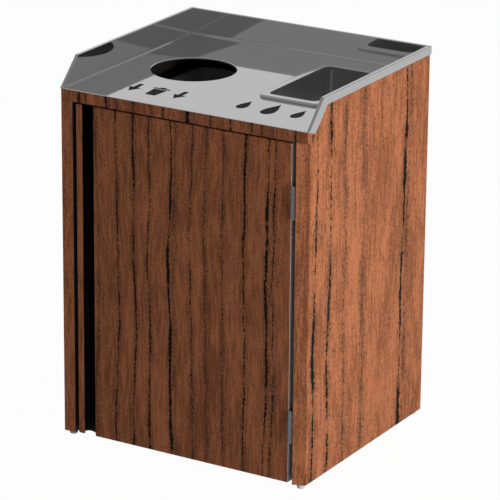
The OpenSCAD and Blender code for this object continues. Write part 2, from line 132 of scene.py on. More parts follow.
class Finish:
    def __init__(self, name, tree=None):
        if tree is None:
            self.material = bpy.data.materials.new(name)
            self.material.use_nodes = True
            tree = self.material.node_tree
        self.tree = tree
        self.tree.nodes.clear()

    def add(self, kind, settings=None, inputs=None):
        node = self.tree.nodes.new(kind)
        for key, value in (settings or {}).items():
            setattr(node, key, value)
        for key, value in (inputs or {}).items():
            socket = pick(node.inputs, key)
            if isinstance(value, Val):
                self.tree.links.new(value.socket, socket)
            elif hasattr(socket.default_value, "__len__") and len(socket.default_value) == 4:
                socket.default_value = (*value, 1.0)[:4]
            else:
                socket.default_value = value
        return Made(self, node)

    def mix(self, amount, first, second):
        made = self.add("ShaderNodeMix", {"data_type": "RGBA"},
                        {"Factor_Float": amount, "A_Color": first, "B_Color": second})
        return made.out("Result_Color")

    def step(self, value, low, high, to_low=0.0, to_high=1.0):
        made = self.add("ShaderNodeMapRange", {"interpolation_type": "SMOOTHSTEP"},
                        {"Value": value, "From Min": low, "From Max": high,
                         "To Min": to_low, "To Max": to_high})
        return made.out("Result")

    def noise(self, vector, scale, detail=2.0, rough=0.5):
        made = self.add("ShaderNodeTexNoise", {}, {"Vector": vector, "Scale": scale,
                                                   "Detail": detail, "Roughness": rough})
        return made.out("Fac")

    def vector(self, x, y, z):
        return self.add("ShaderNodeCombineXYZ", {}, {"X": x, "Y": y, "Z": z}).out("Vector")

    def place(self):
        return self.add("ShaderNodeTexCoord").out("Object")

    def axes(self):
        made = self.add("ShaderNodeSeparateXYZ", {}, {"Vector": self.place()})
        return made.out("X"), made.out("Y"), made.out("Z")

    def surface(self, inputs, bump=None, strength=0.1, distance=0.001):
        inputs = dict(inputs)
        if bump is not None:
            inputs["Normal"] = self.add("ShaderNodeBump", {}, {"Height": bump, "Strength": strength,
                                                              "Distance": distance}).out("Normal")
        shader = self.add("ShaderNodeBsdfPrincipled", {}, inputs)
        self.add("ShaderNodeOutputMaterial", {}, {"Surface": shader.out("BSDF")})
        return self.material


print("finish tools ready")

# %% [markdown]
# ## Wood-grain laminate
# The laminate is a printed sheet: a reddish ground with fine upright fibres, and near-black, ragged streaks
# that wander a little on their way up, each in a soft brown shade with dark specks round it. A photograph
# could be wrapped on the boards, but here the print is built from rules, so it can be changed and never
# repeats. One-dimensional cells space the streaks unevenly, and noise bends, thins and breaks them. The sides
# are cut from a bolder sheet with wider spaces than the front. The lengths below are in metres.

# %% The laminate's finish
LIGHT_WOOD = (0.520, 0.185, 0.082)
DEEP_WOOD = (0.250, 0.085, 0.037)
SHADE_WOOD = (0.085, 0.046, 0.026)
STREAK_WOOD = (0.007, 0.004, 0.003)
SWAY, WIGGLE, RAGGED_EDGE = 0.045, 0.0075, 0.0120
THIN_STREAK, WIDE_STREAK = 0.0008, 0.0034
SHADE_REACH = 0.014


def streaks(wood, across, bent, z, spacing, bold, seed):
    """The core of the streaks and the shade near them, each from 0 to 1."""
    cells = wood.add("ShaderNodeTexVoronoi", {"voronoi_dimensions": "1D"},
                     {"W": bent, "Scale": 1.0 / spacing, "Randomness": 0.95})
    reach = cells.out("Distance") * spacing
    own = wood.add("ShaderNodeSeparateColor", {}, {"Color": cells.out("Color")}).out("Red")

    # Each streak swells, thins and breaks along its height
    swell = wood.noise(wood.vector(own * 90.0, z * 6.0, seed), 1.0, 3.0, 0.6)
    breaks = wood.noise(wood.vector(own * 50.0, z * 20.0, seed), 1.0, 2.0, 0.5)
    ragged = wood.noise(wood.vector(across * 260.0 / bold, z * 130.0, seed), 1.0, 3.0, 0.7)
    width = wood.step(swell, 0.36, 0.64, THIN_STREAK, WIDE_STREAK) * (0.45 + own * own) * bold
    edge = reach + (ragged - 0.5) * RAGGED_EDGE * bold
    core = 1.0 - wood.step(edge / width, 0.80, 1.15)
    core = core * wood.step(breaks, 0.34, 0.46, 0.25, 1.0) * wood.step(own, 0.05, 0.30, 0.30, 1.0)
    near = 1.0 - wood.step(reach, 0.001, SHADE_REACH * bold)
    return core, near * wood.step(swell, 0.30, 0.60, 0.20, 1.0)


def laminate(name, spacing, bold, seed):
    wood = Finish(name)
    x, y, z = wood.axes()
    across = x + y + seed
    drift = wood.noise(wood.vector(across * 4.0, z * 2.4, seed), 1.0, 2.0)
    wiggle = wood.noise(wood.vector(across * 22.0, z * 17.0, seed), 1.0, 2.0)
    bent = across + (drift - 0.5) * SWAY + (wiggle - 0.5) * WIGGLE
    core, near = streaks(wood, across, bent, z, spacing, bold, seed)

    # Fine upright fibres, with short dark flecks that crowd round the streaks
    grit = wood.noise(wood.vector(across * 330.0 / bold, z * 170.0, seed + 4.0), 1.0, 3.0, 0.8)
    fibres = wood.noise(wood.vector(bent * 150.0, z * 14.0, seed), 1.0, 3.0, 0.65)
    clouds = wood.noise(wood.vector(bent * 15.0, z * 3.0, seed), 1.0, 3.0, 0.6)
    figure = fibres * 0.36 + clouds * 0.26 + grit * 0.38
    colour = wood.mix(wood.step(figure, 0.42, 0.58), DEEP_WOOD, LIGHT_WOOD)
    colour = wood.mix(wood.step(grit - near * 0.12, 0.32, 0.42, 0.80, 0.0), colour, SHADE_WOOD)
    colour = wood.mix(near * 0.30, colour, SHADE_WOOD)
    colour = wood.mix(core, colour, STREAK_WOOD)
    return wood.surface(
        {"Base Color": colour, "Roughness": 0.46 + grit * 0.16, "Specular IOR Level": 0.08},
        bump=fibres * 0.5 + grit * 0.5 - core, strength=0.12, distance=0.0004,
    )


# %% One laminate for each board
FRONT_SPACING, SIDE_SPACING = 0.042, 0.100
PLAIN, BOLD = 1.0, 1.7
wood_finishes = {
    "left_side_panel": laminate("laminate_left", SIDE_SPACING, BOLD, 3.1),
    "right_side_panel": laminate("laminate_right", SIDE_SPACING, BOLD, 27.4),
    "back_panel": laminate("laminate_back", FRONT_SPACING, PLAIN, 5.3),
    "door_panel": laminate("laminate_door", FRONT_SPACING, PLAIN, 1.9),
    "front_rail": laminate("laminate_rail", FRONT_SPACING, PLAIN, 2.4),
}
print("laminates:", sorted(wood_finishes))

# %% [markdown]
# ## Polished and plated steel
# The tray top is polished until it mirrors the room, so its colour is mostly what stands round it. A mirror
# without any mark looks false, so faint wipe marks change how sharp it is. The hinges and screws are zinc
# plated: duller, a little mottled, with fine turning or brushing marks.

# %% Steel finishes
def mirror_steel(name, colour, metal, sharp, dull):
    steel = Finish(name)
    x, y, z = steel.axes()
    wipe = steel.noise(steel.vector(x * 9.0, y * 30.0, z * 9.0), 1.0, 3.0, 0.6)
    smudge = steel.noise(steel.place(), 7.0, 4.0, 0.6)
    tint = steel.mix(smudge, tuple(c * 0.97 for c in colour), colour)
    rough = steel.step(wipe * 0.6 + smudge * 0.4, 0.35, 0.7, sharp, dull)
    return steel.surface({"Base Color": tint, "Metallic": metal, "Roughness": rough})


def plated_steel(name, colour, rough):
    steel = Finish(name)
    mottle = steel.noise(steel.place(), 190.0, 3.0, 0.6)
    marks = steel.noise(steel.place(), 1500.0, 2.0, 0.5)
    tint = steel.mix(steel.step(mottle, 0.35, 0.65), tuple(c * 0.82 for c in colour), colour)
    return steel.surface(
        {"Base Color": tint, "Metallic": 1.0, "Roughness": rough + (mottle - 0.5) * 0.2},
        bump=marks, strength=0.12, distance=0.0001,
    )


tray_steel = mirror_steel("tray_steel", (0.80, 0.80, 0.80), 0.97, 0.030, 0.060)
pan_steel = mirror_steel("pan_steel", (0.86, 0.86, 0.86), 0.88, 0.09, 0.16)
hinge_steel = plated_steel("hinge_steel", (0.28, 0.29, 0.31), 0.42)
screw_steel = plated_steel("screw_steel", (0.62, 0.62, 0.60), 0.30)
print("steels ready")

# %% [markdown]
# ## Boards, plastics and rubber inside
# Nobody is meant to look at these for long, but the door opens on them. The battens are planed wood in a
# near-black grey, a painted shade for the dim inside of the cabinet, the floor a plain brown board, and the
# bin a moulded plastic with a fine grain.

# %% Plain finishes
def planed_wood(name, light, dark, turn):
    wood = Finish(name)
    x, y, z = wood.axes()
    if turn == "x":
        grain = wood.vector(x * 5.0, y * 90.0, z * 90.0)
    else:
        grain = wood.vector(x * 90.0, y * 5.0, z * 90.0)
    rings = wood.noise(grain, 1.0, 3.0, 0.6)
    fibres = wood.noise(grain, 5.0, 2.0, 0.6)
    colour = wood.mix(wood.step(rings, 0.32, 0.68), dark, light)
    colour = wood.mix(wood.step(fibres, 0.5, 0.75) * 0.4, colour, dark)
    return wood.surface({"Base Color": colour, "Roughness": 0.60 + fibres * 0.15},
                        bump=rings * 0.5 + fibres * 0.5, strength=0.2, distance=0.0005)


def moulded(name, colour, rough, grain_scale, depth, shine=0.5):
    plastic = Finish(name)
    grain = plastic.noise(plastic.place(), grain_scale, 2.0, 0.55)
    cloud = plastic.noise(plastic.place(), 9.0, 3.0, 0.5)
    tint = plastic.mix(cloud, tuple(c * 0.86 for c in colour), colour)
    return plastic.surface({"Base Color": tint, "Roughness": rough + (cloud - 0.5) * 0.12,
                            "Specular IOR Level": shine}, bump=grain, strength=0.25, distance=depth)


# The batten colours are darkened to near-black grey as a painted shade for the dim inside of the cabinet.
BATTEN_LIGHT, BATTEN_DARK = (0.085, 0.075, 0.068), (0.050, 0.044, 0.040)
batten_along_x = planed_wood("batten_along_x", BATTEN_LIGHT, BATTEN_DARK, "x")
batten_along_y = planed_wood("batten_along_y", BATTEN_LIGHT, BATTEN_DARK, "y")
inner_board = planed_wood("inner_board", (0.30, 0.16, 0.085), (0.19, 0.10, 0.055), "x")
bin_plastic = moulded("bin_plastic", (0.420, 0.420, 0.430), 0.40, 900.0, 0.0003)
catch_plastic = moulded("catch_plastic", (0.70, 0.68, 0.62), 0.40, 1500.0, 0.0001)
glide_nylon = moulded("glide_nylon", (0.72, 0.72, 0.74), 0.38, 1200.0, 0.0001)
bumper_rubber = moulded("bumper_rubber", (0.020, 0.020, 0.021), 0.70, 1800.0, 0.0001)
black_enamel = moulded("black_enamel", (0.016, 0.016, 0.017), 0.55, 1400.0, 0.0001, 0.12)
# Near-black for the finger groove: a painted shade for the shadow deep inside it.
groove_painted_shade = moulded("groove_painted_shade", (0.0030, 0.0026, 0.0024), 0.60, 700.0, 0.0003, 0.10)
# Near-black for the boards' inward faces: a painted shade for the dim inside of the cabinet.
inner_face_painted_shade = moulded("inner_face_painted_shade", (0.042, 0.039, 0.038), 0.55, 500.0, 0.0002, 0.25)
# A band on the door's hinge edge; its pale colour is painted light for the dim gap at the hinges.
edge_band_painted_light = moulded("edge_band_painted_light", (0.720, 0.700, 0.720), 0.45, 900.0, 0.0001)
print("plain finishes ready")

# %% [markdown]
# ## Finishes on the frame's own pieces
# Hinges, fixings and battens already have their final shape in the frame, so they only need a finish.

# %% Dress the pieces that stay
stay = {
    "floor_panel": inner_board,
    "front_batten": batten_along_x,
    "rear_batten": batten_along_x,
    "left_batten": batten_along_y,
    "right_batten": batten_along_y,
    "wood_dowels": batten_along_x,
    "upper_hinge_panel_leaf": hinge_steel,
    "lower_hinge_panel_leaf": hinge_steel,
    "upper_hinge_door_leaf": hinge_steel,
    "lower_hinge_door_leaf": hinge_steel,
    "hinge_pins": screw_steel,
    "catch_housing": catch_plastic,
    "catch_magnet": black_enamel,
    "catch_screws": screw_steel,
    "strike_plate": screw_steel,
    "strike_screw": screw_steel,
    "door_bumpers": bumper_rubber,
    "glides": glide_nylon,
    "glide_nails": screw_steel,
}


def dress(obj, material):
    obj.data.materials.clear()
    obj.data.materials.append(material)


for name, material in stay.items():
    dress(nodes[name], material)
print(len(stay), "pieces dressed")

# %% [markdown]
# ## Eased edges on the boards
# No laminate board ends in a perfect edge: the router takes off most of a millimetre. A bevel on a copy of
# the frame's board gives the thin line of light that shows where two faces meet. Only the long outer edges
# are taken, so the bores inside stay as they are. The face that looks inwards is coloured near-black, a
# painted shade for the dim inside of the cabinet.

# %% A piece from a mesh
def add_object(name, data):
    obj = bpy.data.objects.new(name, data)
    bpy.context.scene.collection.objects.link(obj)
    return obj


def mesh_from(name, bm):
    mesh = bpy.data.meshes.new(name)
    bm.to_mesh(mesh)
    bm.free()
    return mesh


def finish_piece(obj, body, slot, *stands_for):
    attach(obj, body)
    if stands_for:
        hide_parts(*stands_for)


def piece_from(name, bm, materials, body, slot, *stands_for):
    obj = add_object(name, mesh_from(name, bm))
    for material in materials:
        obj.data.materials.append(material)
    finish_piece(obj, body, slot, *stands_for)
    return obj


print("piece tools ready")

# %% Boards with eased edges
EASE = 0.0008
WELD = 1e-6


def ease_edges(bm, least_length):
    edges = [e for e in bm.edges if len(e.link_faces) == 2 and e.calc_length() > least_length
             and e.calc_face_angle(0.0) > math.radians(20) and e.is_convex]
    bmesh.ops.bevel(bm, geom=edges, offset=EASE, offset_type="OFFSET", segments=2, profile=0.6,
                    affect="EDGES", clamp_overlap=True)


INWARD = {
    "left_side_panel": Vector((1.0, 0.0, 0.0)),
    "right_side_panel": Vector((-1.0, 0.0, 0.0)),
    "back_panel": Vector((0.0, -1.0, 0.0)),
    "front_rail": Vector((0.0, 1.0, 0.0)),
}


def eased_board(node, material):
    bm = bmesh.new()
    bm.from_mesh(nodes[node].data)
    bmesh.ops.remove_doubles(bm, verts=bm.verts, dist=WELD)
    bmesh.ops.dissolve_limit(bm, angle_limit=math.radians(0.5), verts=bm.verts, edges=bm.edges)
    ease_edges(bm, least_length=0.02)
    # Inward faces get the near-black painted shade for the dim inside of the cabinet
    for face in bm.faces:
        if face.normal.dot(INWARD[node]) > 0.9:
            face.material_index = 1
    return piece_from("eased_" + node, bm, [material, inner_face_painted_shade], "cabinet", "reddish_laminate", node)


for node in INWARD:
    board = eased_board(node, wood_finishes[node])
    print(board.name, len(board.data.polygons), "faces")

# %% [markdown]
# ## The door and its finger groove
# The groove is a cove run the whole height of the door, with a round bottom that undercuts the strip beside
# it, so fingers can hook behind. The door is one plan outline drawn straight up: the outline holds two arcs,
# and the faces they make are coloured near-black as a painted shade for the shadow deep in the groove, and
# shaded smooth, the others flat. The narrow face at the hinges has a pale edge band, its pale colour painted
# light for the dim gap at the hinges; it is the one face of the door that isn't wood-grained or black.

# %% The door's outline
GROOVE_W = 0.0315
GROOVE_DEPTH = 0.022
LOBE_R = 0.009
UNDERCUT = 0.006
STRIP_W = 0.015


def arc(centre, radius, start, end, count):
    points = []
    for i in range(count + 1):
        angle = math.radians(start + (end - start) * i / count)
        points.append((centre[0] + radius * math.cos(angle), centre[1] + radius * math.sin(angle)))
    return points


def groove_outline():
    lobe_x = LOBE_R - UNDERCUT
    run = GROOVE_W - lobe_x
    ramp_r = (run ** 2 + GROOVE_DEPTH ** 2) / (2 * GROOVE_DEPTH)
    ramp_end = math.degrees(math.atan2(ramp_r - GROOVE_DEPTH, run))
    lip_y = GROOVE_DEPTH - LOBE_R - math.sqrt(LOBE_R ** 2 - lobe_x ** 2)
    lobe_start = -math.degrees(math.atan2(GROOVE_DEPTH - LOBE_R - lip_y, -lobe_x))
    lobe = arc((lobe_x, GROOVE_DEPTH - LOBE_R), LOBE_R, lobe_start, -270, 20)
    ramp = arc((lobe_x, GROOVE_DEPTH - ramp_r), ramp_r, 90, ramp_end, 20)
    return [(0.0, 0.0)] + lobe + ramp[1:]


print(len(groove_outline()), "points in the groove's outline")


# %% Build the door
def build_door():
    groove = [(door_low.x + STRIP_W + u, door_low.y + v) for u, v in groove_outline()]
    outline = [(door_low.x, door_low.y)] + groove + [
        (door_high.x, door_low.y), (door_high.x, door_high.y), (door_low.x, door_high.y)]
    bm = bmesh.new()
    low = [bm.verts.new((px, py, door_low.z)) for px, py in outline]
    high = [bm.verts.new((px, py, door_high.z)) for px, py in outline]
    bm.faces.new(list(reversed(low)))
    bm.faces.new(high)
    count = len(outline)
    for i in range(count):
        j = (i + 1) % count
        side = bm.faces.new((low[i], low[j], high[j], high[i]))
        # The groove's faces take the near-black painted shade
        if 1 <= i < len(groove):
            side.material_index = 1
            side.smooth = i > 1
    bmesh.ops.recalc_face_normals(bm, faces=bm.faces)
    for face in bm.faces:
        # The hinge edge takes the pale band, painted light for the dim gap
        if face.normal.x > 0.9 and face.calc_center_median().x > door_high.x - EASE:
            face.material_index = 2
    ease_edges(bm, least_length=0.1)
    return piece_from("routed_door", bm, [wood_finishes["door_panel"], groove_painted_shade, edge_band_painted_light], "door",
                      "reddish_laminate", "door_panel")


door = build_door()
print("door:", len(door.data.polygons), "faces")

# %% [markdown]
# ## The folded tray top
# The top is one sheet: a flat deck, three walls folded up round a small radius, folded over the edge of the
# boards, and down outside as a lip. Boxes would give knife edges, which a mirror never shows. So the section
# through a wall is swept along the three sides, with real bend radii, and it shrinks towards the front where
# the walls are cut away at 45 degrees. The walls lean outwards by under two degrees, as sheet steel springs
# back from a fold, and that decides what they mirror. The deck is filled in between, round the two openings.

# %% One section through a wall
BEND = 0.0045
EDGE_BEND = 0.0016
# Share of a low wall's height that one bend may take
MOST_BEND = 0.45
BEND_STEPS = 10
LEAN = math.tan(math.radians(1.7))
LEAN_PIVOT = 0.7 * UPSTAND


def quarter(centre_n, centre_z, radius, start, end):
    return [(centre_n + n, centre_z + z) for n, z in arc((0.0, 0.0), radius, start, end, BEND_STEPS)]


def wall_section(height, lip_low):
    foot = min(BEND, height * MOST_BEND)
    edge = min(EDGE_BEND, height * MOST_BEND)
    inside = [(-BEND, 0.0)]
    inside += quarter(-foot, foot, foot, -90, 0)
    inside += quarter(edge, height - edge, edge, 180, 90)
    inside = [(n + LEAN * (LEAN_PIVOT - z), z) for n, z in inside]
    outside = quarter(FOLD_WIDTH - edge, height - edge, edge, 90, 0)
    outside += [(FOLD_WIDTH, lip_low)]
    return inside + outside


print(len(wall_section(UPSTAND, UPSTAND - LIP)), "points in a section")

# %% The stations along the left, back and right walls
inner_x = top_high.x - FOLD_WIDTH
inner_y = top_high.y - FOLD_WIDTH
level_lip = UPSTAND - LIP
SLANT_DEPTHS = (0.0006, 0.004, 0.010, 0.018, LIP_SLANT - LIP_DROP, 0.040, 0.052)
LEVEL_DEPTHS = (UPSTAND, 0.074, level_lip + LIP_SLANT, 0.12, 0.25, 0.40)


def lip_low_at(depth):
    slant_start = LIP_SLANT - LIP_DROP
    if depth < slant_start:
        return -SHEET - (LIP_DROP - SHEET) * depth / slant_start
    return min(depth - LIP_SLANT, level_lip)


def wall_stations():
    """Each station: a point on the wall's inner face, the outward direction, height and lip."""
    left = []
    for depth in SLANT_DEPTHS + LEVEL_DEPTHS:
        low = lip_low_at(depth)
        left.append(((-inner_x, FRONT_Y + depth), (-1.0, 0.0), min(depth, UPSTAND), low))
    right = [((-p[0], p[1]), (1.0, 0.0), height, low) for (p, _, height, low) in left]
    corner_left = ((-inner_x, inner_y), (-1.0, 1.0), UPSTAND, level_lip)
    corner_right = ((inner_x, inner_y), (1.0, 1.0), UPSTAND, level_lip)
    return left + [corner_left, corner_right] + list(reversed(right))


stations = wall_stations()
print(len(stations), "stations")

# %% [markdown]
# Between the openings and the walls the deck is a flat face with holes. Its rims are built first: the round
# hole is turned down in a short collar, the pan's cut-out is a plain edge that the pan's rim hides. A fill
# over the rims' edges then closes the deck, and it is left flat-shaded so that it mirrors like plate glass.

# %% Rims of the openings
CORNER_STEPS = 8


def rounded_rect(half_w, half_l, radius):
    points = []
    for cx, cy, start in ((1, 1, 0), (-1, 1, 90), (-1, -1, 180), (1, -1, 270)):
        centre = (cx * (half_w - radius), cy * (half_l - radius))
        points += arc(centre, radius, start, start + 90, CORNER_STEPS)
    return points


def ring(bm, points, z):
    return [bm.verts.new((px, py, z)) for px, py in points]


def skin(bm, first, second):
    """Smooth faces from one closed ring to the next."""
    count = len(first)
    for i in range(count):
        j = (i + 1) % count
        bm.faces.new((first[i], first[j], second[j], second[i])).smooth = True


def loop_edges(bm, loop):
    pairs = zip(loop, loop[1:] + loop[:1])
    return [bm.edges.get(pair) or bm.edges.new(pair) for pair in pairs]


def quarter_turn(steps):
    """Cosine and sine at even steps from 0 to 90 degrees."""
    angles = [math.radians(90 * i / steps) for i in range(steps + 1)]
    return [(math.cos(angle), math.sin(angle)) for angle in angles]


COLLAR = 0.004
COLLAR_BEND = 0.0020
HOLE_STEPS = 128


def hole_rim(bm):
    def circle(radius, z):
        return ring(bm, arc((HOLE_X, HOLE_Y), radius, 0, 360 - 360 / HOLE_STEPS, HOLE_STEPS - 1), z)

    outer = circle(HOLE_R + COLLAR_BEND, DECK_Z)
    last = outer
    for cos, sin in quarter_turn(5)[1:]:
        now = circle(HOLE_R + COLLAR_BEND * (1 - sin), DECK_Z - COLLAR_BEND * (1 - cos))
        skin(bm, last, now)
        last = now
    low = circle(HOLE_R, DECK_Z - SHEET - COLLAR)
    skin(bm, last, low)
    return outer


pan_mid = (pan_low + pan_high) / 2
pan_half_w, pan_half_l, _ = (pan_high - pan_low) / 2
PAN_RIM = 0.019
PAN_WALL = 0.0012
PAN_CORNER = 0.017
PAN_AIR = 0.0038


def pan_cut_out(bm):
    margin = PAN_RIM - PAN_WALL - PAN_AIR
    cut = rounded_rect(pan_half_w - margin, pan_half_l - margin, PAN_CORNER + PAN_WALL)
    return ring(bm, [(pan_mid.x + u, pan_mid.y + v) for u, v in cut], DECK_Z)


print("hole", round(2 * HOLE_R, 4), "wide, pan", round(2 * pan_half_w, 4), "by", round(2 * pan_half_l, 4))


# %% Walls and deck
def raise_walls(bm):
    """A row of points at each station, and the faces between the rows."""
    rows = []
    for (px, py), (dx, dy), height, low in stations:
        section = wall_section(height, low)
        rows.append([bm.verts.new((px + dx * n, py + dy * n, DECK_Z + z)) for n, z in section])
    # A section is flat, bend, flat, bend, flat, bend, flat: only the bends are shaded smooth
    flats = {part * (BEND_STEPS + 1) for part in range(4)}
    for a, b in zip(rows, rows[1:]):
        for k in range(len(a) - 1):
            face = bm.faces.new((a[k], b[k], b[k + 1], a[k + 1]))
            face.smooth = k not in flats
    # The folds meet in a mitre at both corners and at the top of each slant
    for row, ((_, y), (_, outward_y), _, _) in zip(rows, stations):
        if outward_y > 0 or abs(y - FRONT_Y - UPSTAND) < WELD:
            for low, high in zip(row, row[1:]):
                bm.edges.get((low, high)).smooth = False
    return rows


def fill_deck(bm, rows):
    inner = [row[0] for row in rows]
    hole = hole_rim(bm)
    cut = pan_cut_out(bm)
    front = [bm.verts.new((end.co.x, FRONT_Y, DECK_Z)) for end in (inner[0], inner[-1])]
    border = [front[0]] + inner + [front[1]]
    edges = loop_edges(bm, border) + loop_edges(bm, hole) + loop_edges(bm, cut)
    made = bmesh.ops.triangle_fill(bm, use_beauty=True, use_dissolve=False, edges=edges,
                                   normal=(0.0, 0.0, 1.0))
    for face in (item for item in made["geom"] if isinstance(item, bmesh.types.BMFace)):
        face.smooth = False
    # The deck runs on to the corners in front of the walls' first section
    for end, corner in ((rows[0], front[0]), (rows[-1], front[1])):
        tip = bm.verts.new((end[-1].co.x, FRONT_Y, DECK_Z))
        toe = bm.verts.new((end[-1].co.x, FRONT_Y, DECK_Z - SHEET))
        bm.faces.new([corner] + end[:-1] + [tip])
        bm.faces.new([tip, end[-2], end[-1], toe])


# %% Build the tray top
def face_up(bm):
    """Turns a sheet so that its largest level face looks up."""
    bmesh.ops.recalc_face_normals(bm, faces=bm.faces)
    if max(bm.faces, key=lambda f: f.calc_area() * abs(f.normal.z)).normal.z < 0:
        bmesh.ops.reverse_faces(bm, faces=bm.faces)


def thicken(obj, thickness, even=False):
    sheet = obj.modifiers.new("sheet", "SOLIDIFY")
    sheet.thickness = thickness
    sheet.offset = -1.0
    sheet.use_even_offset = even


def build_tray():
    bm = bmesh.new()
    fill_deck(bm, raise_walls(bm))
    bmesh.ops.remove_doubles(bm, verts=bm.verts, dist=WELD)
    face_up(bm)
    tray = piece_from("folded_tray", bm, [tray_steel], "cabinet", "mirror_steel", "steel_top")
    thicken(tray, SHEET, even=True)
    return tray


tray = build_tray()
print("tray:", len(tray.data.polygons), "faces")

# %% [markdown]
# ## The pan for liquids
# A drop-in pan is pressed from one sheet, so it has no sharp corner anywhere: its rim is rolled, its walls
# run into the floor in a generous curve. It is lofted from rounded rectangles, from the rolled rim down to
# the floor, and a Solidify gives it its wall.

# %% Loft of rounded rectangles
LEAST_RADIUS = 0.002


def loft(bm, centre, rows):
    """Rows are (half width, half length, corner radius, z); the last one is closed."""
    last = None
    for half_w, half_l, radius, z in rows:
        points = [(centre.x + u, centre.y + v) for u, v in rounded_rect(half_w, half_l, radius)]
        now = ring(bm, points, z)
        if last is not None:
            skin(bm, last, now)
        last = now
    bm.faces.new(last)


def set_in(half_w, half_l, radius, inset, z):
    """A row that lies inside the given rounded rectangle by the inset."""
    return (half_w - inset, half_l - inset, max(radius - inset, LEAST_RADIUS), z)


def rolled_over(rim, mouth, top, outer_roll, inner_roll, steps):
    """Rows that climb round the outside of a rim and go over into its mouth."""
    rows = [set_in(*rim, outer_roll * (1 - cos), top - outer_roll * (1 - sin))
            for cos, sin in quarter_turn(steps)]
    return rows + [set_in(*mouth, -inner_roll * (1 - sin), top - inner_roll * (1 - cos))
                   for cos, sin in quarter_turn(steps)]


def rounded_floor(outline, floor_z, bend, steps):
    """Rows that run from a wall into the floor."""
    return [set_in(*outline, bend * (1 - cos), floor_z + bend * (1 - sin))
            for cos, sin in quarter_turn(steps)]


def hollow(name, centre, rows, wall, material, body, slot, node):
    bm = bmesh.new()
    loft(bm, centre, rows)
    face_up(bm)
    made = piece_from(name, bm, [material], body, slot, node)
    thicken(made, wall)
    return made


# %% Build the pan
PAN_RIM_H = 0.006
PAN_RIM_CORNER = 0.022
PAN_OUTER_ROLL, PAN_INNER_ROLL = 0.0035, 0.0018
PAN_MOUTH_H = 0.010
PAN_FLOOR_BEND = 0.012
PAN_STEPS = 6


def pan_rows():
    top = pan_high.z
    rim = (pan_half_w, pan_half_l, PAN_RIM_CORNER)
    mouth = (pan_half_w - PAN_RIM, pan_half_l - PAN_RIM, PAN_CORNER)
    rows = [set_in(*rim, 0.0, top - PAN_RIM_H)]
    rows += rolled_over(rim, mouth, top, PAN_OUTER_ROLL, PAN_INNER_ROLL, PAN_STEPS)
    rows.append(set_in(*mouth, 0.0, top - PAN_MOUTH_H))
    return rows + rounded_floor(mouth, pan_low.z + PAN_WALL, PAN_FLOOR_BEND, PAN_STEPS)


pan = hollow("pressed_pan", pan_mid, pan_rows(), PAN_WALL, pan_steel, "pan", "pan_steel", "liquids_pan")
print("pan:", len(pan.data.polygons), "faces")

# %% [markdown]
# ## The waste bin
# Seen through the hole, only its rim and upper walls show; with the door open, all of it. Moulded bins taper
# so that they leave the mould, and their rim is turned outwards and down for the fingers.

# %% Build the bin
BIN_RIM = 0.012
BIN_SKIRT = 0.014
BIN_DRAFT = 0.020
BIN_WALL = 0.003
BIN_CORNER = 0.030
BIN_ROLL = 0.004
BIN_FLOOR_BEND = 0.010
BIN_STEPS = 5
bin_mid = (bin_low + bin_high) / 2
bin_half_w, bin_half_l, _ = (bin_high - bin_low) / 2


def bin_rows():
    top = bin_high.z
    rim = (bin_half_w, bin_half_l, BIN_CORNER + BIN_RIM)
    to_mouth = BIN_RIM + BIN_WALL
    to_foot = to_mouth + BIN_DRAFT
    mouth = (bin_half_w - to_mouth, bin_half_l - to_mouth, BIN_CORNER - BIN_WALL)
    foot = (bin_half_w - to_foot, bin_half_l - to_foot, BIN_CORNER - BIN_WALL)
    rows = [set_in(*rim, 0.0, top - BIN_SKIRT)]
    rows += rolled_over(rim, mouth, top, BIN_ROLL, BIN_ROLL, BIN_STEPS)
    return rows + rounded_floor(foot, bin_low.z + BIN_WALL, BIN_FLOOR_BEND, BIN_STEPS)


waste_bin = hollow("moulded_bin", bin_mid, bin_rows(), BIN_WALL, bin_plastic, "cabinet", "bin_plastic",
                   "waste_bin")
print("bin:", len(waste_bin.data.polygons), "faces")

# %% [markdown]
# ## Screws, repeated by Geometry Nodes
# The same countersunk screw sits in every batten and hinge leaf. One tree builds it from a cone and a shank,
# cuts the cross recess, and sets a copy on every point of a small mesh, turned to that point's own direction.
# The result is turned into a plain mesh for each body, because instances don't travel.

# %% The screw tree
SCREW_SIZES = {
    "Head diameter": 0.0075,
    "Head height": 0.0024,
    "Shank diameter": 0.0038,
    "Length": 0.022,
    "Recess length": 0.0045,
    "Recess width": 0.0009,
    "Recess depth": 0.0011,
}


